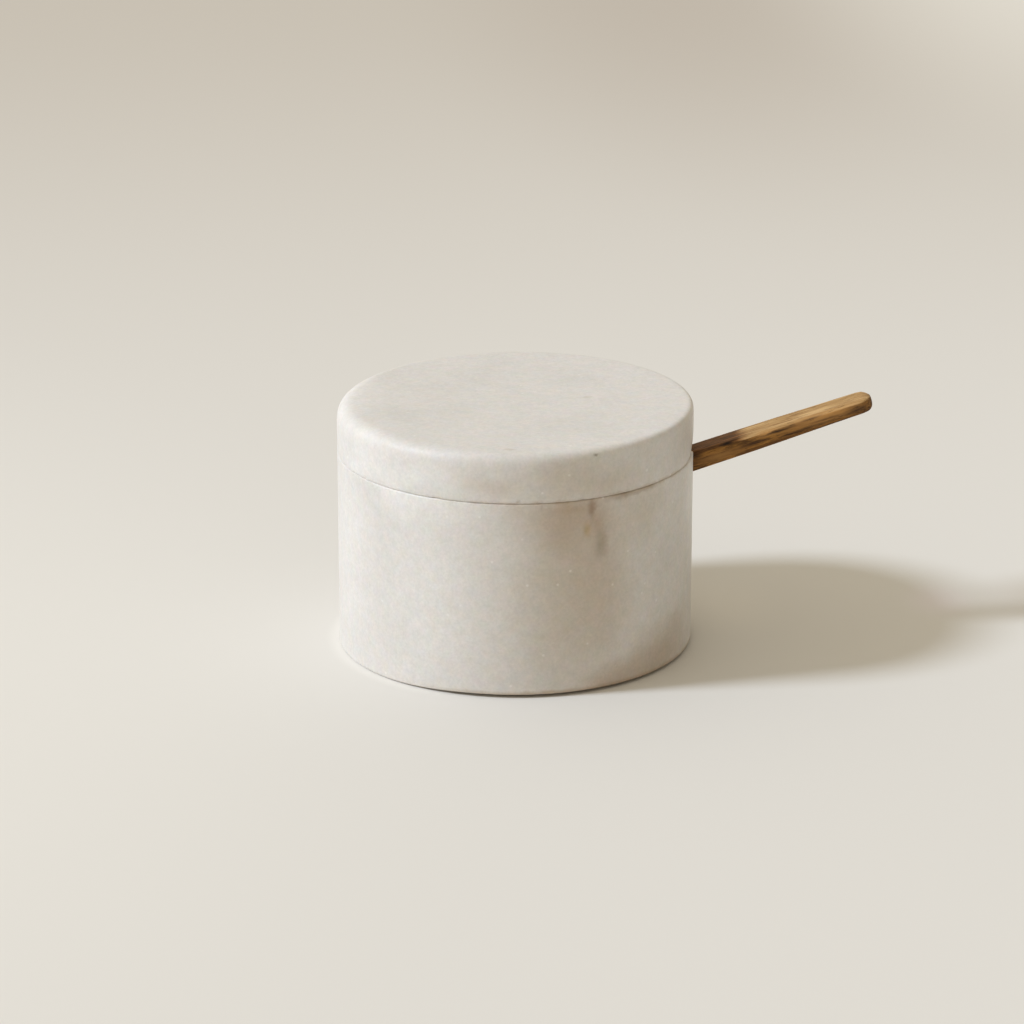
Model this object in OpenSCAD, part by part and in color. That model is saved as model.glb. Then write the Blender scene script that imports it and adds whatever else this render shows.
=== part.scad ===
// Salt cellar: a turned marble pot with a marble lid and a carved wooden spoon.
// Origin: centre of the base on the table. +Z runs up the pot's axis and +X along the spoon's handle.

/* [Pot] */
// Outer diameter of the bowl and the lid
pot_d = 100; // [90:1:120]
// Height of the marble bowl from its underside to its rim
bowl_h = 55; // [50:1:66]
// Thickness of the bowl's wall at the rim
wall_t = 8.5; // [7:0.5:10]
// Thickness of the bowl's floor
floor_t = 12; // [9:0.5:14]
// Radius where the inside wall turns into the floor
hollow_corner_r = 26; // [24:0.5:28]
// Rounding of the rim's outer and inner edges
rim_round = 0.9; // [0.4:0.1:1.4]
// Rounding of the bowl's bottom edge
base_round = 0.8; // [0.4:0.1:1.6]

/* [Lid] */
// Thickness of the lid from its seat on the rim to its top
lid_t = 13.8; // [11:0.2:18]
// Rounding of the lid's top edge
lid_edge_r = 2.5; // [1:0.1:4]
// Rounding of the lid's bottom edge at the seam
lid_seam_round = 0.5; // [0.3:0.1:1]
// Height of the turned step that drops into the bowl's mouth
step_h = 4; // [2.5:0.5:5]
// Gap all round between the step and the bowl's mouth
step_gap = 2.4; // [1:0.1:3]

/* [Notches] */
// Depth of the U notch below the bowl's rim
notch_depth = 11; // [10:0.5:14]
// Gap on each side of the handle in the U notch
notch_side_gap = 1.7; // [1:0.1:2.5]
// Width of the arch in the lid, at the seam
arch_w = 26; // [20:1:32]
// Height of the arch above the seam
arch_h = 5.2; // [4.5:0.1:8]
// How far the arch runs in from the lid's outer face
arch_run = 18; // [14:1:24]
// Rounding of the arch's outer edge
arch_flare = 2.5; // [1:0.1:3]

/* [Spoon] */
// How far the handle sticks out past the pot
handle_out = 50; // [35:1:65]
// Width of the handle at its tip
handle_w_tip = 9.5; // [8.8:0.1:12]
// Width of the handle where it rests in the notch
handle_w_notch = 7.6; // [6:0.1:10]
// Width of the handle at its neck
handle_w_neck = 6.2; // [5:0.1:8]
// Thickness of the handle at its tip
handle_t_tip = 4; // [3:0.1:5]
// Thickness of the handle where it rests in the notch
handle_t_notch = 5.5; // [4.5:0.1:6]
// Thickness of the handle at its neck
handle_t_neck = 6.4; // [5:0.1:7.5]
// Radius of the handle's corners at the tip, seen from above
handle_corner_r = 4.2; // [2:0.1:4.3]
// Chamfer along the spoon's upper edges
edge_chamfer = 0.7; // [0.4:0.1:1]
// Diameter of the scoop at its rim
scoop_d = 26; // [22:0.5:28]
// Depth of the scoop outside, from its rim to its underside
scoop_depth = 10; // [9:0.25:11]
// Thickness of the scoop's wall
scoop_wall = 2.3; // [1.8:0.1:3]
// How far the scoop's rim lies below the handle's top face
scoop_drop = 4.7; // [3:0.1:7]

/* [Base pad] */
// Diameter of the felt pad under the bowl
pad_d = 82; // [70:1:86]
// Thickness of the felt pad
pad_t = 1.2; // [0.8:0.1:2]

/* [Hidden] */

// Smoothness of turned shapes and bores
turned_fn = 128;
// Overrun of every cut past the face it leaves
over = 2;
// Gap between the resting spoon and the marble that carries it
rest_gap = 0.25;
// Angle below level at which the scoop meets the hollow's corner
rest_angle = 45;

// Heights and radii of the pot
pot_r = pot_d / 2;
mouth_r = pot_r - wall_t;
bowl_z = pad_t;
floor_z = bowl_z + floor_t;
rim_z = bowl_z + bowl_h;
corner_x = mouth_r - hollow_corner_r;
corner_z = floor_z + hollow_corner_r;

// The U notch, just wide enough for the handle and its side gaps
notch_r = handle_w_notch / 2 + notch_side_gap;
notch_axis_z = rim_z - notch_depth + notch_r;

// The arch: one circle through the seam's two ends and the crown
arch_r = (pow(arch_w / 2, 2) + pow(arch_h, 2)) / (2 * arch_h);
arch_axis_z = rim_z + arch_h - arch_r;

// Sections of the handle: a chamfer along the top, and squared round sides below it
chamfer_limit_share = 0.3;
side_power = 7;
corner_share = pow(0.5, 1 / side_power);

// The handle's underside rests with its two lower corners on the U notch's round floor
lower_t = handle_t_notch - edge_chamfer;
corner_y = corner_share * handle_w_notch / 2;
corner_up = (1 - corner_share) * lower_t;
seat_z = notch_axis_z - sqrt(pow(notch_r - rest_gap, 2) - pow(corner_y, 2)) - corner_up;

// The scoop is a cap of a ball that nests in the hollow's far corner
scoop_r = scoop_d / 2;
ball_r = (pow(scoop_r, 2) + pow(scoop_depth, 2)) / (2 * scoop_depth);
ball_up = ball_r - scoop_depth;
nest_r = hollow_corner_r - ball_r - rest_gap;
ball_x = -corner_x - nest_r * cos(rest_angle);
ball_z = corner_z - nest_r * sin(rest_angle);

// Tilt of the handle's top face, from the ball's centre to the seat at the mouth
run_x = mouth_r - ball_x;
run_z = ball_z - seat_z;
lift = ball_up - scoop_drop + handle_t_notch;
tilt = asin(lift / norm([run_x, run_z])) - atan2(run_z, run_x);

// Places along the handle, counted from the ball's centre
tip_u = (pot_r + handle_out - ball_x + (scoop_drop - ball_up) * sin(tilt)) / cos(tilt);
notch_u = (mouth_r - ball_x) * cos(tilt) + (seat_z - ball_z) * sin(tilt);

// Fillets that join the scoop to the neck, in plan and in side view, as shares of the scoop's radius
plan_fillet_share = 0.8;
under_fillet_share = 1.1;
plan_fillet_r = plan_fillet_share * scoop_r;
under_fillet_r = under_fillet_share * scoop_r;
plan_fillet_u = sqrt(pow(scoop_r + plan_fillet_r, 2) - pow(handle_w_neck / 2 + plan_fillet_r, 2));
plan_touch_u = plan_fillet_u * scoop_r / (scoop_r + plan_fillet_r);
under_rise = ball_up + under_fillet_r + handle_t_neck - scoop_drop;
under_fillet_u = sqrt(pow(ball_r + under_fillet_r, 2) - pow(under_rise, 2));
under_touch_u = under_fillet_u * ball_r / (ball_r + under_fillet_r);
neck_u = max(plan_fillet_u, under_fillet_u);

// Where the top face dips from the handle to the scoop's rim, as shares of the scoop's radius
dip_start_share = 0.72;
dip_end_share = 1.35;

// Rounding of the tip's lower edge in side view, as a share of the tip's thickness
tip_round_share = 0.45;
tip_round = tip_round_share * handle_t_tip;

function between(a, b, share) = a + (b - a) * share;
function clamp01(share) = max(0, min(1, share));
function smooth(share) = share * share * (3 - 2 * share);

// A handle size at u, from its values at the neck, the notch and the tip
function along(u, at_neck, at_notch, at_tip) =
    u < notch_u
        ? between(at_neck, at_notch, clamp01((u - neck_u) / (notch_u - neck_u)))
        : between(at_notch, at_tip, (u - notch_u) / (tip_u - notch_u));

// Half the spoon's width at u
function half_w(u) =
    u < plan_touch_u ? sqrt(max(0, pow(scoop_r, 2) - u * u))
    : u < plan_fillet_u
        ? handle_w_neck / 2 + plan_fillet_r - sqrt(pow(plan_fillet_r, 2) - pow(plan_fillet_u - u, 2))
    : u < tip_u - handle_corner_r ? handle_half_w(u)
    : handle_half_w(u) - handle_corner_r
        + sqrt(max(0, pow(handle_corner_r, 2) - pow(u - tip_u + handle_corner_r, 2)));
function handle_half_w(u) = along(u, handle_w_neck, handle_w_notch, handle_w_tip) / 2;

// Height of the spoon's top at u, with the handle's top face at zero
function top_w(u) =
    -scoop_drop * (1 - smooth(clamp01((u / scoop_r - dip_start_share) / (dip_end_share - dip_start_share))));

// Height of the spoon's underside at u
function under_w(u) =
    u < under_touch_u ? ball_up - scoop_drop - sqrt(max(0, ball_r * ball_r - u * u))
    : u < under_fillet_u
        ? -handle_t_neck - under_fillet_r + sqrt(pow(under_fillet_r, 2) - pow(under_fillet_u - u, 2))
    : -along(u, handle_t_neck, handle_t_notch, handle_t_tip) + tip_rise(u);
function tip_rise(u) =
    u < tip_u - tip_round ? 0
    : tip_round - sqrt(max(0, pow(tip_round, 2) - pow(u - tip_u + tip_round, 2)));

// Squareness of the section's lower half: round under the scoop, squared along the handle
function power_at(u) = between(2, side_power, smooth(clamp01((u - plan_touch_u) / scoop_r)));
function rounded(value, power) = sign(value) * pow(abs(value), 2 / power);

// One section: the lower half from side to side, then the chamfered top
function section(u) =
    let (
        b = half_w(u),
        top = top_w(u),
        chamfer = min(edge_chamfer, chamfer_limit_share * (top - under_w(u))),
        low = top - chamfer - under_w(u),
        power = power_at(u)
    )
    concat(
        [for (k = [0 : section_steps])
            let (turn = 180 * k / section_steps)
            [u, -b * rounded(cos(turn), power), top - chamfer - low * rounded(sin(turn), power)]],
        [[u, b - min(b / 2, chamfer), top], [u, -b + min(b / 2, chamfer), top]]
    );
section_steps = 20;
section_points = section_steps + 3;

// Sections crowd where the outline turns: at the scoop's nose, at the neck and at the tip
nose_steps = 14;
neck_steps = 12;
handle_steps = 12;
tip_steps = 7;
nose_end_turn = 6;
tip_end_turn = 84;
stations = concat(
    [for (k = [0 : nose_steps - 1])
        -scoop_r * cos(nose_end_turn + (90 - nose_end_turn) * k / nose_steps)],
    [for (k = [0 : neck_steps - 1]) neck_u * k / neck_steps],
    [for (k = [0 : handle_steps - 1]) between(neck_u, tip_u - handle_corner_r, k / handle_steps)],
    [for (k = [0 : tip_steps]) tip_u - handle_corner_r * (1 - sin(tip_end_turn * k / tip_steps))]
);

module place_spoon() {
    translate([ball_x, 0, ball_z])
        rotate([0, -tilt, 0])
            translate([0, 0, scoop_drop - ball_up])
                children();
}

module carved_blank() {
    points = [for (u = stations) each section(u)];
    last = len(stations) - 1;
    n = section_points;
    sides = [for (s = [0 : last - 1], k = [0 : n - 1])
        let (a = s * n + k, b = s * n + (k + 1) % n)
        each [[a, b, a + n], [b, b + n, a + n]]];
    nose = [for (k = [1 : n - 2]) [0, k + 1, k]];
    tip = [for (k = [1 : n - 2]) [last * n, last * n + k, last * n + k + 1]];
    polyhedron(points = points, faces = concat(sides, nose, tip), convexity = 6);
}

module spoon() {
    color("peru")
        place_spoon()
            difference() {
                carved_blank();
                translate([0, 0, ball_up - scoop_drop])
                    sphere(r = ball_r - scoop_wall, $fn = turned_fn);
            }
}

module bowl_body() {
    rotate_extrude($fn = turned_fn)
        difference() {
            translate([0, bowl_z])
                square([pot_r, bowl_h]);
            rounded_edge(pot_r, bowl_z, base_round, [-1, 1]);
            rounded_edge(pot_r, rim_z, rim_round, [-1, -1]);
            hollow_profile();
        }
}

// The hollow's half outline, with the rounded inner edge of the rim added at its top
module hollow_profile() {
    translate([0, floor_z])
        square([corner_x, rim_z - floor_z + over]);
    translate([0, corner_z])
        square([mouth_r, rim_z - corner_z + over]);
    intersection() {
        translate([corner_x, corner_z])
            circle(r = hollow_corner_r, $fn = turned_fn);
        translate([0, floor_z])
            square([mouth_r, hollow_corner_r]);
    }
    rounded_edge(mouth_r, rim_z, rim_round, [1, -1]);
}

// What a rounded edge takes off a corner of a profile: side points from the corner into the material
module rounded_edge(x, y, r, side) {
    centre = [x + side[0] * r, y + side[1] * r];
    difference() {
        translate([min(centre[0], x - side[0] * over), min(centre[1], y - side[1] * over)])
            square(r + over);
        translate(centre)
            circle(r = r, $fn = turned_fn / 2);
    }
}

module bowl() {
    color("gainsboro")
        difference() {
            bowl_body();
            u_notch();
        }
}

// The U notch runs out through the wall under the handle
module u_notch() {
    translate([mouth_r - wall_t, 0, notch_axis_z])
        rotate([0, 90, 0])
            cylinder(r = notch_r, h = 2 * wall_t + over, $fn = turned_fn);
    translate([mouth_r - wall_t, -notch_r, notch_axis_z])
        cube([2 * wall_t + over, 2 * notch_r, rim_z - notch_axis_z + over]);
}

module lid() {
    color("whitesmoke")
        difference() {
            rotate_extrude($fn = turned_fn)
                lid_profile();
            arch_cut();
        }
}

module lid_profile() {
    step_r = mouth_r - step_gap;
    difference() {
        union() {
            translate([0, rim_z])
                square([pot_r, lid_t]);
            translate([0, rim_z - step_h])
                square([step_r, step_h + lid_t / 2]);
        }
        rounded_edge(pot_r, rim_z + lid_t, lid_edge_r, [-1, -1]);
        rounded_edge(pot_r, rim_z, lid_seam_round, [-1, 1]);
        rounded_edge(step_r, rim_z - step_h, rim_round, [-1, 1]);
    }
}

// A round tool cuts the arch from outside, and its mouth flares where it meets the lid's face
module arch_cut() {
    translate([pot_r - arch_run, 0, arch_axis_z])
        rotate([0, 90, 0])
            rotate_extrude($fn = turned_fn)
                difference() {
                    square([arch_r + arch_flare, arch_run + over]);
                    translate([arch_r, -over])
                        square([arch_flare + over, arch_run - arch_flare + over]);
                    translate([arch_r + arch_flare, arch_run - arch_flare])
                        circle(r = arch_flare, $fn = turned_fn / 2);
                }
}

module base_pad() {
    color("dimgray")
        cylinder(d = pad_d, h = pad_t, $fn = turned_fn);
}

bowl();
lid();
spoon();
base_pad();
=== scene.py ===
# Looks of the salt cellar: a marble pot, its marble lid, a carved wooden spoon and a felt pad
import math
import bpy
import numpy as np
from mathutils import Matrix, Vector, noise


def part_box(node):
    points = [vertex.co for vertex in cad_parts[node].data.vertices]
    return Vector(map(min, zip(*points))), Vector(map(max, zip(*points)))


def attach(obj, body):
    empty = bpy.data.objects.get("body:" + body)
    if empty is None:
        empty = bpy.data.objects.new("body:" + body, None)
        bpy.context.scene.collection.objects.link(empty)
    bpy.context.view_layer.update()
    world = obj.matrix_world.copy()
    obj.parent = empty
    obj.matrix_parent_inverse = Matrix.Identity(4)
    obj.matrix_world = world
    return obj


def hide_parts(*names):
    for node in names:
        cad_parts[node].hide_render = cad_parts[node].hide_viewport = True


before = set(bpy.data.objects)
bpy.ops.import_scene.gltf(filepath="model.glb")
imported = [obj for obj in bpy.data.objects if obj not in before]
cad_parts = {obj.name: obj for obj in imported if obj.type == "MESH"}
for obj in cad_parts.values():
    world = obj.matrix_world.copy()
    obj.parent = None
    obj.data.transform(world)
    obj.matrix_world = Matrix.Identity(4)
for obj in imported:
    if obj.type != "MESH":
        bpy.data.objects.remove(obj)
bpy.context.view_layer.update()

MM = 0.001

# Sizes from the frame
bowl_low, bowl_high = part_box("bowl")
lid_low, lid_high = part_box("lid")
pad_low, pad_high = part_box("base_pad")
POT_R = bowl_high.x
BOWL_Z = bowl_low.z
RIM_Z = bowl_high.z
LID_TOP = lid_high.z
STEP_Z = lid_low.z
PAD_R = pad_high.x

# The bowl, where its box doesn't say
WALL = 8.5 * MM
FLOOR = 12 * MM
HOLLOW_CORNER = 26 * MM
BASE_ROUND = 0.6 * MM
RIM_ROUND = 0.6 * MM
MOUTH_R = POT_R - WALL

# Outside the pad its foot comes down in a shallow lip. The cosine of the turn from the handle says
# where that lip is low and where it is high.
FOOT_R = PAD_R + 1 * MM
LIP_LOW = 0.1 * MM
LIP_HIGH = 0.85 * MM
LIP_LOW_COS = -0.85
LIP_COS_SPAN = 0.6

# The notch in its rim
NOTCH_HALF = 5.5 * MM
NOTCH_DEPTH = 11 * MM
NOTCH_CORNER = 1.4 * MM

# The lid, its step and its worn top edge, which is tightest at the handle and broadest opposite
STEP_GAP = 2.4 * MM
STEP_R = MOUTH_R - STEP_GAP
STEP_ROUND = 0.9 * MM
LID_SEAM_ROUND = 0.35 * MM
LID_EDGE_IN = 4.1 * MM
LID_EDGE_DOWN = 4.4 * MM
LID_EDGE_SWING = 1.9 * MM
LID_EDGE_POWER = 3

# The arch in its underside, the arch's soft outer rounding, and the pocket behind it in the step
ARCH_HALF = 13 * MM
ARCH_HEIGHT = 5.2 * MM
ARCH_RUN = 18 * MM
ARCH_CORNER = 6 * MM
ARCH_SOFT_UP = 1.8 * MM
ARCH_SOFT_IN = 0.9 * MM
ARCH_SOFT_SHARE = 0.9
ARCH_SOFT_FADE = 0.6
POCKET_MARGIN = 1 * MM
POCKET_FADE = 2.5 * MM
POCKET_HALF = 20 * MM

# The spoon's tilt and the point on its axis where the handle leaves the pot
HANDLE_TILT = math.radians(17.11)
HANDLE_EXIT = Vector((POT_R, 0, 52.1 * MM))
VOXEL = 0.26 * MM

# Outside the pot the handle is a little fuller than the CAD's, in millimetres and less so on its top
# face. That starts inside the pot's wall and falls off toward the tip.
FULLER = 0.25
FULLER_LESS_ON_TOP = 0.08
FULLER_FROM = -5
FULLER_RISE = 3
FULLER_UP_TO = 14
FULLER_FALL = 34

# The tip's top edge is worn round
TIP_WEAR_RUN = 2.4 * MM
TIP_WEAR = 0.7 * MM
TIP_WEAR_POWER = 1.5
TIP_WEAR_FULL_AT = 2 * MM

# The pad's soft edge
PAD_STEPS = 240
PAD_MIDDLE_R = 8 * MM
PAD_SOFT_SHARE = 0.45
FLUFF = 0.12 * MM
FLUFF_SCALE = 40

# Turning and carving by hand: slow waves on the outer face, and chips along the seam
OUTER_FROM = 44 * MM
OUTER_FADE = 4 * MM
WAVE_SIZE = 20 * MM
WAVE_DEPTH = 0.06 * MM
CHIP_SIZE = 2.4 * MM
CHIP_DEPTH = 0.6 * MM
CHIP_FROM = 0.28
CHIP_REACH = 1.5 * MM

# Samples round the pot, and half angles of the notch and the arch: at the meridians' feet, and where
# the meridians are back on even steps
NOTCH_STEPS = 76
RING_STEPS = 640
NOTCH_FOOT = math.radians(16)
NOTCH_EASE = math.radians(50)
ARCH_FOOT = math.radians(20)
ARCH_EASE = math.radians(56)


def smooth(x):
    x = np.clip(x, 0, 1)
    return x * x * (3 - 2 * x)


def fade(start, end, share):
    return start * (1 - share) + end * share


def steps(count):
    """Even shares from above 0 to 1."""
    return np.linspace(0, 1, count)[1:]


def quarter(count):
    """Even angles from above 0 to a right angle."""
    return np.radians(np.linspace(0, 90, count))[1:]


def mesh_object(name, points, faces, material):
    mesh = bpy.data.meshes.new(name)
    mesh.from_pydata([tuple(p) for p in points], [], faces)
    mesh.update()
    mesh.polygons.foreach_set("use_smooth", [True] * len(mesh.polygons))
    mesh.materials.append(material)
    piece = bpy.data.objects.new(name, mesh)
    bpy.context.scene.collection.objects.link(piece)
    return piece


def closed_lathe(rows, first, last):
    """Vertices and outward faces of rings of points, closed by a centre point at each end."""
    count = rows[0].shape[0]
    points = [first] + [p for row in rows for p in row] + [last]
    faces = []
    for j in range(count):
        k = (j + 1) % count
        faces.append((0, 1 + k, 1 + j))
        for i in range(len(rows) - 1):
            a = 1 + i * count
            b = a + count
            faces.append((a + j, a + k, b + k, b + j))
        end = 1 + (len(rows) - 1) * count
        faces.append((end + j, end + k, len(points) - 1))
    return points, faces


# Meridians: curves from the axis to the pot's face. Near +X they run parallel to X.
STRAIGHT_FROM = 30 * MM
STRAIGHT_ANGLE = math.radians(22)
ROUND_ANGLE = math.radians(60)


def on_meridian(phi, rho, z):
    """Points at radius rho and height z on the meridians that meet the pot's face at the angles phi."""
    phi, rho, z = np.broadcast_arrays(phi, rho, z)
    turn = np.abs(np.arctan2(np.sin(phi), np.cos(phi)))
    straight = 1 - smooth((turn - STRAIGHT_ANGLE) / (ROUND_ANGLE - STRAIGHT_ANGLE))
    held = np.maximum(rho, STRAIGHT_FROM)
    y = (straight * POT_R + (1 - straight) * held) * np.sin(phi) * rho / held
    x = np.sqrt(np.maximum(rho * rho - y * y, 0)) * np.where(np.cos(phi) < 0, -1, 1)
    return np.stack([x, y, z], -1)


def inward(row, shares, z):
    """Rings inside a ring, with each point on its own radius, at height z."""
    return [row * [share, share, 0] + [0, 0, z] for share in shares]


def arc_points(centre, radius, start, end, count):
    """Points on an arc and their directions from its centre, without its last point."""
    turns = np.radians(np.linspace(start, end, count, endpoint=False))
    out = np.stack([np.cos(turns), np.sin(turns)], -1)
    return np.array(centre) + radius * out, out


def line_points(start, end, normal, count):
    """Points on a line and their common direction into the stone, without its last point."""
    share = np.linspace(0, 1, count, endpoint=False)[:, None]
    points = np.array(start) * (1 - share) + np.array(end) * share
    return points, np.tile(np.array(normal, float), (count, 1))


def edge_path(pieces, ease_half_angle, foot_half_angle):
    """An edge round the pot that leaves the rim's height along pieces.

    It gives the edge's face angle, height and direction into the stone, and the angle of its
    meridian's foot.
    """
    flat = np.concatenate([p for p, n in pieces])
    into = np.concatenate([n for p, n in pieces])
    phi = np.arcsin(flat[:, 0] / POT_R)
    foot = np.linspace(-foot_half_angle, foot_half_angle, len(phi))
    ring = np.linspace(foot_half_angle, 2 * math.pi - foot_half_angle, RING_STEPS + 2)[1:-1]
    off = np.minimum(ring, 2 * math.pi - ring)
    share = np.clip((off - foot_half_angle) / (ease_half_angle - foot_half_angle), 0, 1)
    gap = ease_half_angle - phi.max()
    end_slope = (ease_half_angle - foot_half_angle) / gap
    eased = phi.max() + gap * ((2 - end_slope) * share + (end_slope - 1) * share * share)
    ring_phi = np.where(off < ease_half_angle, eased, off)
    ring_phi = np.where(ring > math.pi, 2 * math.pi - ring_phi, ring_phi)
    up = np.tile([0.0, into[0, 1]], (len(ring), 1))
    return (
        np.concatenate([phi, ring_phi]),
        np.concatenate([flat[:, 1], np.full(len(ring), RIM_Z)]),
        np.concatenate([into, up]),
        np.concatenate([foot, ring]),
    )


def notch_path():
    """The rim of the bowl, which dips round the U notch. The stone lies below it."""
    c = NOTCH_CORNER
    h = NOTCH_HALF
    axis_z = RIM_Z - NOTCH_DEPTH + h
    corner_n = NOTCH_STEPS // 8
    wall_n = NOTCH_STEPS // 8
    floor_n = NOTCH_STEPS // 2
    left, left_out = arc_points((-h - c, RIM_Z - c), c, 90, 0, corner_n)
    down, down_n = line_points((-h, RIM_Z - c), (-h, axis_z), (-1, 0), wall_n)
    floor, floor_out = arc_points((0, axis_z), h, 180, 360, floor_n)
    up, up_n = line_points((h, axis_z), (h, RIM_Z - c), (1, 0), wall_n)
    right, right_out = arc_points((h + c, RIM_Z - c), c, 180, 90, corner_n)
    end = (np.array([[h + c, RIM_Z]]), np.array([[0.0, -1.0]]))
    pieces = [(left, -left_out), (down, down_n), (floor, floor_out), (up, up_n),
              (right, -right_out), end]
    return edge_path(pieces, NOTCH_EASE, NOTCH_FOOT)


def arch_path():
    """The bottom edge of the lid, which rises in the arch. The stone lies above it."""
    f = ARCH_CORNER
    r = (ARCH_HALF ** 2 + ARCH_HEIGHT ** 2) / (2 * ARCH_HEIGHT)
    axis_z = RIM_Z + ARCH_HEIGHT - r
    f_y = math.sqrt((r + f) ** 2 - (RIM_Z + f - axis_z) ** 2)
    meet = math.degrees(math.atan2(RIM_Z + f - axis_z, f_y))
    corner_n = NOTCH_STEPS // 5
    crown_n = NOTCH_STEPS - 2 * corner_n
    left, left_out = arc_points((-f_y, RIM_Z + f), f, 270, 360 - meet, corner_n)
    crown, crown_out = arc_points((0, axis_z), r, 180 - meet, meet, crown_n)
    right, right_out = arc_points((f_y, RIM_Z + f), f, 180 + meet, 270, corner_n)
    end = (np.array([[f_y, RIM_Z]]), np.array([[0.0, 1.0]]))
    pieces = [(left, -left_out), (crown, crown_out), (right, -right_out), end]
    return edge_path(pieces, ARCH_EASE, ARCH_FOOT)


def offset(phi, z, into, depth):
    """The path moved into the stone by depth, on the pot's face."""
    y = POT_R * np.sin(phi) + into[:, 0] * depth
    moved = np.where(into[:, 0] == 0, phi, np.arcsin(np.clip(y / POT_R, -1, 1)))
    return moved, z + into[:, 1] * depth


def hand_finish(rows, seed):
    """Moves the outer face in by slow waves, and breaks the seam's edge with small chips."""
    shift = Vector((seed * 17.3, seed * 5.1, seed * 9.7))
    for row in rows:
        for point in row:
            rho = math.hypot(point[0], point[1])
            outer = (rho - OUTER_FROM) / OUTER_FADE
            if outer <= 0:
                continue
            place = Vector(point)
            slow = 0.5 + 0.5 * noise.noise(place / WAVE_SIZE + shift)
            near = max(0.0, 1 - abs(place.z - RIM_Z) / CHIP_REACH)
            chip = max(0.0, noise.fractal(place / CHIP_SIZE + shift, 1.0, 2.0, 3) - CHIP_FROM)
            depth = min(1.0, outer) * (WAVE_DEPTH * slow + CHIP_DEPTH * near * chip)
            point[:2] *= 1 - depth / rho


def bowl_mesh(material):
    """The bowl, in rings from the middle of its underside out, over the rim and down the hollow."""
    phi, z, into, foot = notch_path()
    b = BASE_ROUND
    r = RIM_ROUND
    corner_x = MOUTH_R - HOLLOW_CORNER
    floor_z = BOWL_Z + FLOOR
    corner_z = floor_z + HOLLOW_CORNER
    lip = fade(LIP_LOW, LIP_HIGH, smooth((np.cos(foot) - LIP_LOW_COS) / LIP_COS_SPAN))
    rows = inward(on_meridian(foot, FOOT_R, BOWL_Z), np.linspace(0.15, 1, 7), BOWL_Z)
    rows += [on_meridian(foot, fade(FOOT_R, POT_R - b, s), fade(BOWL_Z, lip, smooth(s)))
             for s in steps(9)]
    rows += [on_meridian(foot, POT_R - b + b * math.sin(a), lip + b - b * math.cos(a))
             for a in quarter(9)]
    edge_phi, edge_z = offset(phi, z, into, r)
    rows += [on_meridian(fade(foot, edge_phi, smooth(s)), POT_R, fade(lip + b, edge_z, s))
             for s in steps(60)]
    for a in quarter(9):
        side_phi, side_z = offset(phi, z, into, r * (1 - math.sin(a)))
        rows.append(on_meridian(side_phi, POT_R - r + r * math.cos(a), side_z))
    rows += [on_meridian(phi, rho, z) for rho in np.linspace(POT_R - r, MOUTH_R + r, 9)[1:]]
    for a in quarter(9):
        side_phi, side_z = offset(phi, z, into, r * (1 - math.cos(a)))
        rows.append(on_meridian(side_phi, MOUTH_R + r - r * math.sin(a), side_z))
    rows += [on_meridian(fade(edge_phi, foot, smooth(s)), MOUTH_R, fade(edge_z, corner_z, s))
             for s in steps(24)]
    wall_foot = rows[-1]
    for a in quarter(26):
        share = (corner_x + HOLLOW_CORNER * math.cos(a)) / MOUTH_R
        rows += inward(wall_foot, [share], corner_z - HOLLOW_CORNER * math.sin(a))
    rows += inward(rows[-1], np.linspace(1, 0.15, 9)[1:], floor_z)
    hand_finish(rows, 1)
    ends = (0, 0, BOWL_Z), (0, 0, floor_z)
    return mesh_object("pot_bowl", *closed_lathe(rows, *ends), material)


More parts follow.
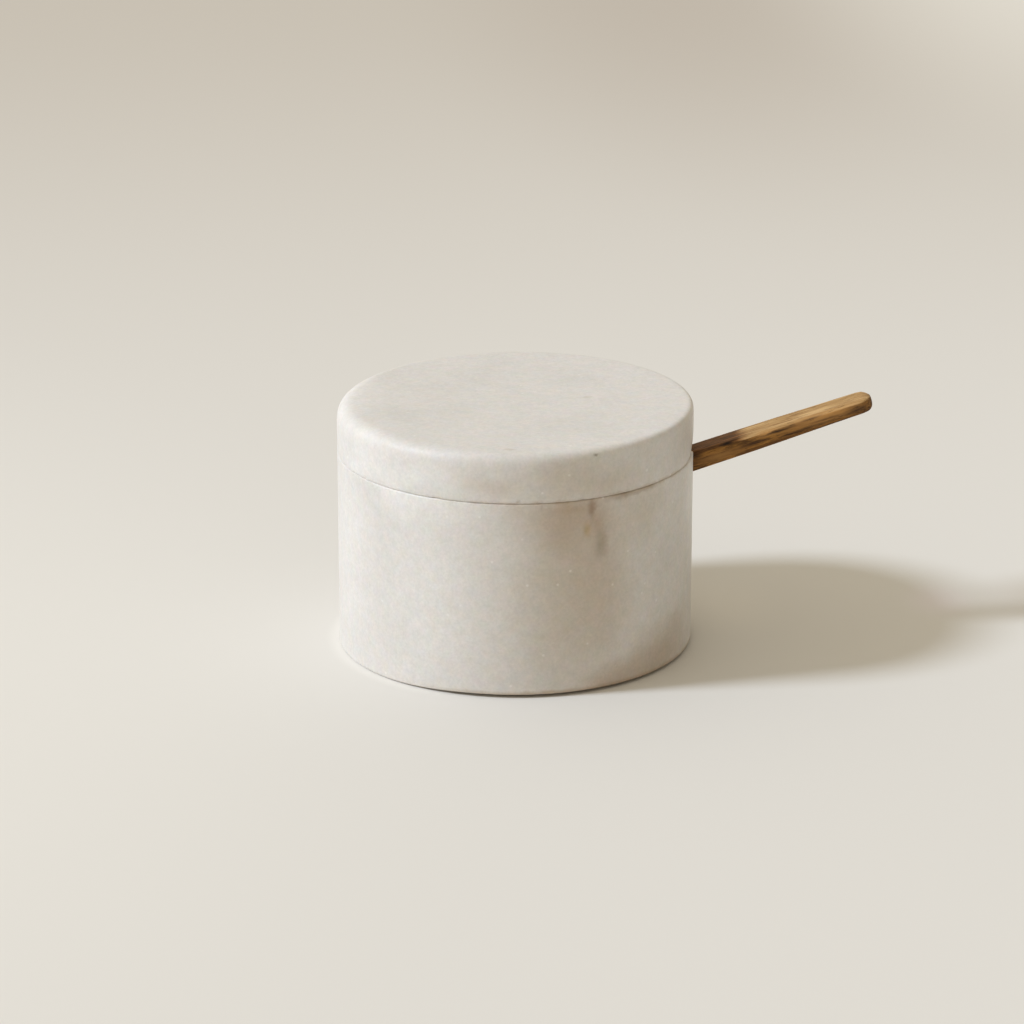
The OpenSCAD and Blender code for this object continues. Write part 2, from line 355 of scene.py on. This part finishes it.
def lid_mesh(material):
    """The lid, in rings from the middle of its step out, up the face and over the top."""
    phi, z, into, foot = arch_path()
    y = POT_R * np.sin(phi)
    near = np.cos(phi) > 0
    # How far the outer rounding of the bottom edge reaches, up the face and in from it
    arch = np.where(near, 1 - smooth((np.abs(y) / ARCH_HALF - ARCH_SOFT_SHARE) / ARCH_SOFT_FADE), 0)
    up_round = fade(LID_SEAM_ROUND, ARCH_SOFT_UP, arch)
    in_round = fade(LID_SEAM_ROUND, ARCH_SOFT_IN, arch)
    # The step is cut away behind the arch, as far in as the arch runs
    past_arch = np.abs(y) - ARCH_HALF - POCKET_MARGIN
    pocket = np.where(near, 1 - smooth(past_arch / POCKET_FADE), 0)
    end_rho = np.sqrt((POT_R - ARCH_RUN) ** 2 + np.minimum(np.abs(y), POCKET_HALF) ** 2)
    drop_rho = fade(STEP_R, end_rho, pocket)
    b = STEP_ROUND
    rows = inward(on_meridian(phi, drop_rho - b, STEP_Z), np.linspace(0.08, 1, 10), STEP_Z)
    rows += [on_meridian(phi, drop_rho - b + b * math.sin(a), STEP_Z + b - b * math.cos(a))
             for a in quarter(9)]
    rows += [on_meridian(phi, drop_rho, fade(STEP_Z + b, z, s)) for s in steps(8)]
    rows += [on_meridian(phi, fade(drop_rho, POT_R - in_round, s), z) for s in steps(12)]
    for a in quarter(9):
        side_phi, side_z = offset(phi, z, into, up_round * (1 - math.cos(a)))
        rows.append(on_meridian(side_phi, POT_R - in_round + in_round * math.sin(a), side_z))
    edge_phi, edge_z = offset(phi, z, into, up_round)
    edge_in = LID_EDGE_IN - LID_EDGE_SWING * np.cos(foot)
    edge_down = LID_EDGE_DOWN - LID_EDGE_SWING * np.cos(foot)
    side_top = LID_TOP - edge_down
    rows += [on_meridian(fade(edge_phi, foot, smooth(s)), POT_R, fade(edge_z, side_top, s))
             for s in steps(24)]
    for a in quarter(33):
        out = math.cos(a) ** (2 / LID_EDGE_POWER) if a < math.pi / 2 - 1e-9 else 0.0
        up = math.sin(a) ** (2 / LID_EDGE_POWER)
        rows.append(on_meridian(foot, POT_R - edge_in * (1 - out), side_top + edge_down * up))
    rows += inward(rows[-1], np.linspace(1, 0.06, 24)[1:], LID_TOP)
    hand_finish(rows, 2)
    ends = (0, 0, STEP_Z), (0, 0, LID_TOP)
    return mesh_object("pot_lid", *closed_lathe(rows, *ends), material)


def softened_copy(source, name, material):
    """A fine remesh of a CAD object, with its carved edges a little soft."""
    mesh = source.data.copy()
    mesh.materials.clear()
    mesh.materials.append(material)
    piece = bpy.data.objects.new(name, mesh)
    bpy.context.scene.collection.objects.link(piece)
    remesh = piece.modifiers.new("fine", "REMESH")
    remesh.mode = "VOXEL"
    remesh.voxel_size = VOXEL
    remesh.use_smooth_shade = True
    soften = piece.modifiers.new("soften", "SMOOTH")
    soften.factor = 0.5
    soften.iterations = 1
    depsgraph = bpy.context.evaluated_depsgraph_get()
    final = bpy.data.meshes.new_from_object(piece.evaluated_get(depsgraph))
    piece.modifiers.clear()
    piece.data = final
    return piece


def wooden_spoon(material):
    """The CAD spoon with soft edges, a little fuller just outside the pot and worn at its tip."""
    piece = softened_copy(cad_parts["spoon"], "wood_spoon", material)
    vertices = piece.data.vertices
    points = np.empty(len(vertices) * 3)
    normals = np.empty(len(vertices) * 3)
    vertices.foreach_get("co", points)
    vertices.foreach_get("normal", normals)
    points = points.reshape(-1, 3)
    normals = normals.reshape(-1, 3)
    off_pot = (points[:, 0] - POT_R) / MM
    rise_share = smooth((off_pot - FULLER_FROM) / FULLER_RISE)
    fall_share = 1 - smooth((off_pot - FULLER_UP_TO) / FULLER_FALL)
    fuller = (FULLER - FULLER_LESS_ON_TOP * normals[:, 2]) * rise_share * fall_share * MM
    points += normals * fuller[:, None]
    run = Vector((math.cos(HANDLE_TILT), 0, math.sin(HANDLE_TILT)))
    rise = Vector((-math.sin(HANDLE_TILT), 0, math.cos(HANDLE_TILT)))
    along = (points - np.array(HANDLE_EXIT)) @ np.array(run)
    above = (points - np.array(HANDLE_EXIT)) @ np.array(rise)
    to_tip = np.clip((along - along.max() + TIP_WEAR_RUN) / TIP_WEAR_RUN, 0, 1)
    wear = TIP_WEAR * to_tip ** TIP_WEAR_POWER * np.clip(above / TIP_WEAR_FULL_AT, 0, 1)
    points -= wear[:, None] * np.array(rise)
    vertices.foreach_set("co", points.ravel())
    piece.data.update()
    piece.data.polygons.foreach_set("use_smooth", [True] * len(piece.data.polygons))
    return piece


def on_pad(turn, rho, z):
    turn, rho, z = np.broadcast_arrays(turn, rho, z)
    return np.stack([rho * np.cos(turn), rho * np.sin(turn), z], -1)


def felt_pad(material):
    """A pressed felt disc with a soft, slightly fluffy edge."""
    foot = np.linspace(0, 2 * math.pi, PAD_STEPS, endpoint=False)
    thick = pad_high.z - pad_low.z
    soft = thick * PAD_SOFT_SHARE
    loose = [noise.noise(Vector((math.cos(a), math.sin(a), 0)) * FLUFF_SCALE) for a in foot]
    fluff = np.array(loose) * FLUFF - FLUFF
    middle = pad_low.z + thick / 2
    flat_end = PAD_R - soft
    rows = [on_pad(foot, rho, pad_low.z) for rho in np.linspace(PAD_MIDDLE_R, flat_end, 8)]
    for a in np.radians(np.linspace(-90, 90, 11))[1:-1]:
        edge_rho = flat_end + soft * math.cos(a) + fluff * math.cos(a)
        rows.append(on_pad(foot, edge_rho, middle + thick / 2 * math.sin(a)))
    rows += [on_pad(foot, rho, pad_high.z) for rho in np.linspace(flat_end, PAD_MIDDLE_R, 8)]
    ends = (0, 0, pad_low.z), (0, 0, pad_high.z)
    return mesh_object("felt_pad", *closed_lathe(rows, *ends), material)


# Materials
class Nodes:
    """Short calls that add nodes to a material or a world."""

    def __init__(self, owner):
        owner.use_nodes = True
        self.tree = owner.node_tree
        self.tree.nodes.clear()

    def add(self, kind, inputs=None, **settings):
        node = self.tree.nodes.new(kind)
        for key, value in settings.items():
            setattr(node, key, value)
        for key, value in (inputs or {}).items():
            if isinstance(value, bpy.types.NodeSocket):
                self.tree.links.new(value, node.inputs[key])
            else:
                node.inputs[key].default_value = value
        return node

    def math(self, operation, a, b=0.0):
        return self.add("ShaderNodeMath", {0: a, 1: b}, operation=operation).outputs[0]

    def ramp(self, value, low, high, out_low=0.0, out_high=1.0, kind="SMOOTHSTEP"):
        inputs = {"Value": value, "From Min": low, "From Max": high, "To Min": out_low, "To Max": out_high}
        return self.add("ShaderNodeMapRange", inputs, interpolation_type=kind).outputs[0]

    def mix(self, share, a, b, blend="MIX"):
        node = self.add("ShaderNodeMix", {0: share, 6: a, 7: b}, data_type="RGBA", blend_type=blend)
        return node.outputs[2]

    def noise(self, vector, size, detail, rough=0.5, output=0):
        inputs = {"Vector": vector, "Scale": 1 / size, "Detail": detail, "Roughness": rough}
        return self.add("ShaderNodeTexNoise", inputs).outputs[output]

    def moved(self, vector, place=(0, 0, 0), scale=(1, 1, 1), turn=(0, 0, 0)):
        inputs = {"Vector": vector, "Location": place, "Scale": scale, "Rotation": turn}
        return self.add("ShaderNodeMapping", inputs).outputs[0]

    def axes(self, vector):
        return self.add("ShaderNodeSeparateXYZ", {0: vector}).outputs

    def channels(self, colour):
        return self.add("ShaderNodeSeparateColor", {0: colour}).outputs

    def length(self, vector):
        return self.add("ShaderNodeVectorMath", {0: vector}, operation="LENGTH").outputs["Value"]

    def bump(self, strength, distance, height):
        inputs = {"Strength": strength, "Distance": distance, "Height": height}
        return self.add("ShaderNodeBump", inputs).outputs[0]

    def surface(self, inputs):
        shader = self.add("ShaderNodeBsdfPrincipled", inputs)
        self.add("ShaderNodeOutputMaterial", {"Surface": shader.outputs[0]})


def material_nodes(name):
    material = bpy.data.materials.new(name)
    nodes = Nodes(material)
    place = nodes.add("ShaderNodeTexCoord").outputs["Object"]
    return material, nodes, place


def rgb(red, green, blue):
    """A linear colour from display values of 0 to 255."""
    def linear(v):
        v = v / 255
        return v / 12.92 if v <= 0.04045 else ((v + 0.055) / 1.055) ** 2.4
    return linear(red), linear(green), linear(blue), 1.0


WHITE_STONE = rgb(212, 208, 203)
# A paler stone colour, used only for painted light, painted highlights and painted reflections
PAINTED_LIGHT_STONE = rgb(232, 230, 227)
GREY_STONE = rgb(200, 197, 191)
WARM_STONE = rgb(196, 185, 171)
# A stained stone colour, used for real stains and also for painted shade
STAIN_AND_SHADE_STONE = rgb(176, 156, 134)
# A vein colour, used for real veins and also for painted shade at the arch's nick
VEIN_AND_SHADE_STONE = rgb(140, 117, 94)
OCHRE_STONE = rgb(178, 149, 103)
GLINT = (0.9, 0.89, 0.87, 1.0)

LIGHT_WOOD = rgb(197, 162, 112)
TAN_WOOD = rgb(164, 128, 80)
GOLDEN_WOOD = rgb(186, 138, 80)
# Colours of the painted shadow of the lid on the handle's top
SHADOWED_WOOD = rgb(136, 86, 38)
DEEP_SHADOWED_WOOD = rgb(70, 42, 18)
# Pore colour, also used for painted shade where the handle meets the pot
PORE_AND_SHADE = rgb(52, 32, 16)


def spot(nodes, place, centre, radius, power):
    """power at centre, falling to 0 at radius, in millimetres. radius may differ along X, Y and Z."""
    scale = [1 / (v * MM) for v in radius]
    shift = [-c * MM * s for c, s in zip(centre, scale)]
    return nodes.ramp(nodes.length(nodes.moved(place, shift, scale)), 1.0, 0.0, 0.0, power)


def tinted(nodes, colour, place, spots):
    for centre, radius, tint, power in spots:
        colour = nodes.mix(spot(nodes, place, centre, radius, power), colour, tint)
    return colour


def bent(nodes, place, size, amount):
    """place pushed about by noise, so that what is drawn there gets uneven edges."""
    warp = nodes.noise(place, size, 4.0, output="Color")
    centred = nodes.add("ShaderNodeVectorMath", {0: warp, 1: (0.5, 0.5, 0.5)}, operation="SUBTRACT")
    pushed = {0: centred.outputs[0], 1: (amount,) * 3, 2: place}
    return nodes.add("ShaderNodeVectorMath", pushed, operation="MULTIPLY_ADD").outputs[0]


# How far the stone's red, green and blue stray from patch to patch
PATCH_SWING = (0.03, 0.012, 0.035)


def mottled(nodes, colour, place):
    """colour with patches that lean warm or cool, and with a fine bright and dark grain."""
    channels = nodes.channels(nodes.noise(place, 3.4 * MM, 3.0, 0.6, "Color"))
    blotch = nodes.ramp(nodes.noise(place, 2.4 * MM, 3.0, 0.6), 0.3, 0.7, 0.96, 1.03, "LINEAR")
    grain = nodes.ramp(nodes.noise(place, 0.8 * MM, 2.0, 0.6), 0.3, 0.7, 0.95, 1.045, "LINEAR")
    both = nodes.math("MULTIPLY", blotch, grain)
    parts = {}
    for k, swing in enumerate(PATCH_SWING):
        lean = nodes.ramp(channels[k], 0.3, 0.7, 1 - swing, 1 + swing, "LINEAR")
        parts[k] = nodes.math("MULTIPLY", both, lean)
    tint = nodes.add("ShaderNodeCombineColor", parts).outputs[0]
    return nodes.mix(1.0, colour, tint, "MULTIPLY")


def with_glints(nodes, colour, place):
    """colour with a few painted glints, sparkles of light on fine crystals, one in some of the cells of a
    pattern.
    """
    cells = nodes.add("ShaderNodeTexVoronoi", {"Vector": place, "Scale": 1 / (4.2 * MM)}).outputs
    chosen = nodes.ramp(nodes.channels(cells["Color"])[0], 0.55, 0.6)
    glint = nodes.math("MULTIPLY", nodes.ramp(cells["Distance"], 0.13, 0.04), chosen)
    return nodes.mix(nodes.math("MULTIPLY", glint, 0.35), colour, GLINT)


def with_seam_and_foot_shade(nodes, colour, place, side_place):
    """colour browned with painted shade in a thin uneven line along the seam and at the foot, toward the
    handle only, on the shaded side.
    """
    axes = nodes.axes(side_place)
    from_seam = nodes.math("ABSOLUTE", nodes.math("SUBTRACT", axes[2], RIM_Z))
    line = nodes.ramp(from_seam, 1.1 * MM, 0.1 * MM)
    uneven = nodes.ramp(nodes.noise(place, 7 * MM, 3.0, 0.6), 0.35, 0.65, 0.15, 0.6)
    toward_handle = nodes.ramp(axes[0], -38 * MM, 8 * MM)
    share = nodes.math("MULTIPLY", nodes.math("MULTIPLY", line, uneven), toward_handle)
    colour = nodes.mix(share, colour, STAIN_AND_SHADE_STONE)
    low = nodes.ramp(axes[2], BOWL_Z + 1.2 * MM, BOWL_Z, 0.0, 0.7)
    return nodes.mix(nodes.math("MULTIPLY", low, toward_handle), colour, STAIN_AND_SHADE_STONE)


def marble(name, zones, marks):
    """White marble with soft clouds, broad tinted zones and small marks (some of them painted light and
    painted shade), painted shade along the seam and foot, painted glints on fine crystals and a honed
    surface.
    """
    material, nodes, place = material_nodes(name)
    broad = bent(nodes, place, 14 * MM, 12 * MM)
    small = bent(nodes, place, 3.2 * MM, 3 * MM)
    clouds = nodes.noise(broad, 22 * MM, 4.0, 0.55)
    colour = nodes.mix(nodes.ramp(clouds, 0.42, 0.75, 0.0, 0.5), WHITE_STONE, GREY_STONE)
    colour = tinted(nodes, colour, broad, zones)
    colour = tinted(nodes, colour, small, marks)
    colour = with_seam_and_foot_shade(nodes, colour, place, bent(nodes, place, 2.5 * MM, 1 * MM))
    colour = mottled(nodes, colour, place)
    colour = with_glints(nodes, colour, place)
    grit = nodes.noise(place, 0.5 * MM, 3.0, 0.6)
    gloss = nodes.noise(place, 1.1 * MM, 2.0)
    nodes.surface({
        "Base Color": colour,
        "Roughness": nodes.ramp(gloss, 0.3, 0.7, 0.46, 0.58, "LINEAR"),
        "Specular IOR Level": 0.35,
        "Normal": nodes.bump(0.2, 0.05 * MM, grit),
        "Subsurface Weight": 0.35,
        "Subsurface Radius": (1.0, 0.85, 0.7),
        "Subsurface Scale": 1.6 * MM,
    })
    return material


# Marks in the wood: the golden side, painted shade where it leaves the pot, dark streaks under the ridge
# with a knot on it, the worn tip.
# Centre and radius are in millimetres along the handle from the pot's face, across it and up from its
# axis; then come tint and strength.
WOOD_MARKS = [
    ((38, -4.5, 1.3), (19, 2.5, 2.6), GOLDEN_WOOD, 0.75),
    ((22, -4.4, 1.7), (5, 1.6, 1.4), GOLDEN_WOOD, 0.9),
    ((8, -4, -0.6), (11, 1.6, 2.2), rgb(164, 120, 66), 0.8),
    # Painted shade where the handle meets the pot's face
    ((1, -3.8, 1.5), (3.4, 2, 1.5), PORE_AND_SHADE, 0.75),
    ((10.5, -4.1, 2.0), (3.6, 1.2, 0.75), rgb(22, 13, 7), 1.0),
    ((16.5, -4.3, 1.0), (3.2, 1.2, 0.6), rgb(54, 33, 16), 0.8),
    ((18.5, -4.4, 0.2), (4.6, 1.2, 0.6), rgb(60, 38, 20), 0.8),
    ((25, -4.5, 1.3), (7.5, 1.2, 0.65), rgb(42, 25, 12), 0.95),
    ((29, -4.5, -0.6), (6, 1.2, 0.5), rgb(56, 34, 18), 0.75),
    ((35, -4.5, 1.9), (5, 1.2, 0.45), rgb(66, 40, 20), 0.75),
    ((39, -4.6, 0.5), (7, 1.2, 0.5), rgb(66, 42, 22), 0.65),
    ((48.5, -4.5, 0.2), (5.5, 2.2, 2.2), rgb(64, 42, 24), 0.75),
    ((53.2, 0, 0.4), (2.4, 6, 2.6), rgb(66, 44, 25), 0.85),
]


def wood(name):
    """Oiled wood with a grain that runs along the handle; a warm tan top and browner sides, which are
    painted light and shade.
    """
    material, nodes, place = material_nodes(name)
    centred = nodes.moved(place, -HANDLE_EXIT)
    along = nodes.moved(centred, turn=(0, HANDLE_TILT, 0))
    wavy = bent(nodes, along, 9 * MM, 1.6 * MM)

    def grain(stretch, size, detail, rough):
        return nodes.noise(nodes.moved(wavy, scale=(stretch, 1, 1)), size, detail, rough)

    fine = grain(0.06, 0.55 * MM, 4.0, 0.7)
    pores = grain(0.12, 0.42 * MM, 3.0, 0.6)
    broad = grain(0.08, 1.6 * MM, 3.0, 0.55)
    streak = grain(0.07, 1.2 * MM, 4.0, 0.75)
    # Painted light and shade: the top and the sides are lit and shaded copies of one wood
    top = nodes.mix(nodes.ramp(broad, 0.32, 0.68), TAN_WOOD, LIGHT_WOOD)
    top = nodes.mix(nodes.ramp(fine, 0.48, 0.68, 0.0, 0.6), top, rgb(122, 87, 48))
    top = nodes.mix(nodes.ramp(streak, 0.5, 0.62, 0.0, 0.7), top, rgb(130, 92, 50))
    side = nodes.mix(nodes.ramp(broad, 0.34, 0.66), rgb(98, 62, 24), rgb(156, 109, 48))
    side = nodes.mix(nodes.ramp(fine, 0.44, 0.64, 0.0, 0.85), side, rgb(62, 38, 16))
    # The top has a painted shadow by the pot, the lid's shadow drawn darker and longer, up to an edge
    # across it
    along_x = nodes.axes(bent(nodes, along, 3 * MM, 3 * MM))[0]
    lid_shadow_paint = nodes.mix(nodes.ramp(streak, 0.42, 0.6), SHADOWED_WOOD, DEEP_SHADOWED_WOOD)
    top = nodes.mix(nodes.ramp(along_x, 17.5 * MM, 13.5 * MM, 0.0, 0.92), top, lid_shadow_paint)
    # The top colour where the face points up, the side colour elsewhere: painted light and shade
    facing = nodes.add("ShaderNodeTexCoord").outputs["Normal"]
    up = (-math.sin(HANDLE_TILT), 0, math.cos(HANDLE_TILT))
    upward = nodes.add("ShaderNodeVectorMath", {0: facing, 1: up}, operation="DOT_PRODUCT")
    colour = nodes.mix(nodes.ramp(upward.outputs["Value"], 0.35, 0.7), side, top)
    colour = tinted(nodes, colour, bent(nodes, along, 2.4 * MM, 0.9 * MM), WOOD_MARKS)
    colour = nodes.mix(nodes.ramp(pores, 0.6, 0.7, 0.0, 0.75), colour, PORE_AND_SHADE)
    height = nodes.math("SUBTRACT", fine, nodes.ramp(pores, 0.6, 0.72))
    nodes.surface({
        "Base Color": colour,
        "Roughness": nodes.ramp(fine, 0.3, 0.7, 0.55, 0.75, "LINEAR"),
        "Specular IOR Level": 0.25,
        "Normal": nodes.bump(0.5, 0.12 * MM, height),
    })
    return material


def felt(name):
    """Brown pressed felt."""
    material, nodes, place = material_nodes(name)
    fibres = nodes.noise(place, 0.4 * MM, 4.0, 0.7)
    nodes.surface({
        "Base Color": nodes.mix(nodes.ramp(fibres, 0.35, 0.65), rgb(110, 98, 80), rgb(152, 138, 116)),
        "Roughness": 0.95,
        "Normal": nodes.bump(0.6, 0.1 * MM, fibres),
        "Sheen Weight": 0.3,
        "Sheen Roughness": 0.5,
    })
    return material


# Zones and marks of the stone: centre and radius in millimetres, tint, strength. Some are painted light and
# some painted shade, as noted.
BOWL_ZONES = [
    # Painted light on the lit left side
    ((-27, -42, 30), (22, 21, 50), PAINTED_LIGHT_STONE, 0.4),
    ((-49, -14, 34), (18, 22, 52), PAINTED_LIGHT_STONE, 0.28),
    # Painted reflection along the right edge, by the handle
    ((50, -8, 46), (9, 19, 28), PAINTED_LIGHT_STONE, 0.95),
    # Painted highlight on the rim's rounding below the seam, on the lit side
    ((-30, -40, 55), (28, 20, 8), PAINTED_LIGHT_STONE, 0.6),
    ((15, -48, 33), (26, 24, 48), WARM_STONE, 0.75),
    ((8, -49, 52), (20, 12, 13), STAIN_AND_SHADE_STONE, 0.5),
    ((16, -47.4, 49), (14, 12, 13), STAIN_AND_SHADE_STONE, 0.3),
    ((20, -46, 30), (15, 14, 26), STAIN_AND_SHADE_STONE, 0.3),
    # Painted shade on the shaded right side
    ((32, -38, 50), (18, 15, 15), WARM_STONE, 0.5),
    # Painted shade at the foot, on the shaded side
    ((40, -30, 7), (20, 24, 15), STAIN_AND_SHADE_STONE, 0.5),
    ((32, -38, 2), (26, 26, 9), STAIN_AND_SHADE_STONE, 0.5),
    ((22, -45, 1), (14, 14, 9), STAIN_AND_SHADE_STONE, 0.5),
]
BOWL_MARKS = [
    ((17.6, -46.8, 53.5), (2, 3, 5.5), VEIN_AND_SHADE_STONE, 0.75),
    ((19, -46.2, 49), (3, 3.4, 5), STAIN_AND_SHADE_STONE, 0.6),
    ((16.1, -47.3, 47.5), (1.9, 3, 3.6), OCHRE_STONE, 0.6),
    ((20.2, -45.7, 43), (3.4, 4, 7), rgb(152, 136, 120), 0.55),
    ((12, -48.5, 54), (12, 6, 2.4), STAIN_AND_SHADE_STONE, 0.5),
    ((27, -42, 55.6), (10, 9, 1.8), VEIN_AND_SHADE_STONE, 0.5),
    ((34, -36.6, 55.8), (6, 7, 1.6), VEIN_AND_SHADE_STONE, 0.45),
]
LID_ZONES = [
    # Painted light on the lit left side
    ((-28, -41, 62), (20, 18, 10), PAINTED_LIGHT_STONE, 0.5),
    ((-48, -20, 64), (22, 26, 14), PAINTED_LIGHT_STONE, 0.32),
    ((-42, -27, 59), (22, 24, 7), PAINTED_LIGHT_STONE, 0.4),
    # Painted reflection along the right edge, by the handle
    ((50, -6, 65), (8, 14, 8), PAINTED_LIGHT_STONE, 0.8),
    # Painted highlight at the left end of the top
    ((-46, 10, 70), (12, 26, 10), PAINTED_LIGHT_STONE, 0.5),
    ((17, -46, 61), (27, 24, 9), WARM_STONE, 0.62),
    # Painted shade at the shaded right end
    ((46, -20, 64), (14, 14, 10), STAIN_AND_SHADE_STONE, 0.2),
]
LID_MARKS = [
    ((-15.5, -47.5, 61.5), (7, 8, 5), OCHRE_STONE, 0.12),
    ((-9, -49, 60.5), (10, 6, 4.5), WARM_STONE, 0.5),
    ((18.6, -46.4, 68.6), (1.2, 1.2, 1.2), rgb(96, 74, 48), 0.95),
    # Painted shade at the arch's nick, beside the handle
    ((49, -11, 59), (4, 6, 4), VEIN_AND_SHADE_STONE, 0.4),
    ((-4.4, -44.4, 70), (2.6, 1.4, 1), rgb(186, 172, 154), 0.6),
    ((19.9, 1.3, 70), (3, 1.6, 1), rgb(192, 182, 166), 0.6),
]

# Lighter and darker patches of floor and backdrop, given the same way. In and by the pot's cast shadow they
# are painted shadow and painted light.
FLOOR_PATCHES = [
    ((130, 900, 0), (150, 520, 500), rgb(182, 172, 160), 0.55),
    ((330, 900, 0), (170, 480, 500), rgb(226, 222, 213), 0.8),
    ((-230, -60, 0), (230, 420, 500), rgb(229, 226, 219), 0.85),
    # Painted shadow: the pot's shadow drawn longer to the right
    ((159, 22, 0), (32, 26, 500), rgb(188, 179, 166), 0.75),
    # Painted light in the shadow's soft edge
    ((125, 20, 0), (14, 20, 500), rgb(230, 223, 226), 0.6),
    # Painted light: bounce from the pot into its shadow
    ((62, 20, 0), (22, 32, 500), rgb(229, 225, 217), 0.6),
]
FLOOR_HALF = 6.0

KEY_POWER = 2.566
KEY_COLOUR = (0.768, 0.8535, 1.0)
KEY_ANGLE = math.radians(9.5)
KEY_RAYS = (1.2531, 0.1579, -1)
SKY_COLOUR = (1, 0.91, 0.745, 1)

CAMERA_PLACE = (-79.57 * MM, -1125.2 * MM, 421.2 * MM)
CAMERA_DOWN = 18.81
CAMERA_TURN = -4
CAMERA_LENS = 148.3
CAMERA_SENSOR = 36


def floor_material():
    """A pale floor that darkens with distance, so that it is the backdrop too."""
    material, nodes, place = material_nodes("floor")
    colour = nodes.mix(nodes.ramp(nodes.axes(place)[1], 0.0, 0.95), rgb(220, 217, 211), rgb(196, 189, 178))
    colour = tinted(nodes, colour, place, FLOOR_PATCHES)
    # Paler where the light bounces back from the bright side of the pot
    flat = nodes.moved(place, scale=(1, 1, 0))
    close = nodes.ramp(nodes.length(flat), POT_R + 4.5 * MM, POT_R, 0.0, 0.24)
    bright_side = nodes.ramp(nodes.axes(flat)[0], -12 * MM, -38 * MM)
    colour = nodes.mix(nodes.math("MULTIPLY", close, bright_side), colour, rgb(252, 249, 242))
    nodes.surface({"Base Color": colour, "Roughness": 0.9, "Specular IOR Level": 0.2})
    return material


def studio():
    """Floor, key light, sky and the photograph's camera."""
    s = FLOOR_HALF
    corners = [(-s, -s, 0), (s, -s, 0), (s, s, 0), (-s, s, 0)]
    floor = mesh_object("floor", corners, [(0, 1, 2, 3)], floor_material())

    sun = bpy.data.lights.new("key", "SUN")
    sun.energy = KEY_POWER
    sun.color = KEY_COLOUR
    sun.angle = KEY_ANGLE
    key = bpy.data.objects.new("key", sun)
    key.rotation_euler = Vector(KEY_RAYS).to_track_quat("-Z", "Y").to_euler()
    bpy.context.scene.collection.objects.link(key)

    # The sky is brighter on the left and behind the pot
    world = bpy.data.worlds.new("sky")
    bpy.context.scene.world = world
    nodes = Nodes(world)
    axes = nodes.axes(nodes.add("ShaderNodeTexCoord").outputs["Generated"])
    side = nodes.ramp(axes[0], -0.8, 0.8, 0.80, 0.44, "LINEAR")
    behind = nodes.ramp(axes[1], 0.0, 1.0, 0.0, 0.15)
    sky = {"Color": SKY_COLOUR, "Strength": nodes.math("ADD", side, behind)}
    background = nodes.add("ShaderNodeBackground", sky)
    nodes.add("ShaderNodeOutputWorld", {"Surface": background.outputs[0]})

    camera = bpy.data.cameras.new("camera")
    camera.lens = CAMERA_LENS
    camera.sensor_width = CAMERA_SENSOR
    camera.clip_start = 0.05
    camera.clip_end = 20
    holder = bpy.data.objects.new("camera", camera)
    holder.location = CAMERA_PLACE
    holder.rotation_euler = (math.radians(90 - CAMERA_DOWN), 0, math.radians(CAMERA_TURN))
    bpy.context.scene.collection.objects.link(holder)
    bpy.context.scene.camera = holder
    bpy.context.scene.view_settings.view_transform = "Standard"


studio()
bowl_piece = bowl_mesh(marble("bowl_marble", BOWL_ZONES, BOWL_MARKS))
lid_piece = lid_mesh(marble("lid_marble", LID_ZONES, LID_MARKS))
spoon_piece = wooden_spoon(wood("spoon_wood"))
pad_piece = felt_pad(felt("pad_felt"))

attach(bowl_piece, "bowl")
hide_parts("bowl")
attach(lid_piece, "lid")
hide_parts("lid")
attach(spoon_piece, "spoon")
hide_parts("spoon")
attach(pad_piece, "bowl")
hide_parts("base_pad")
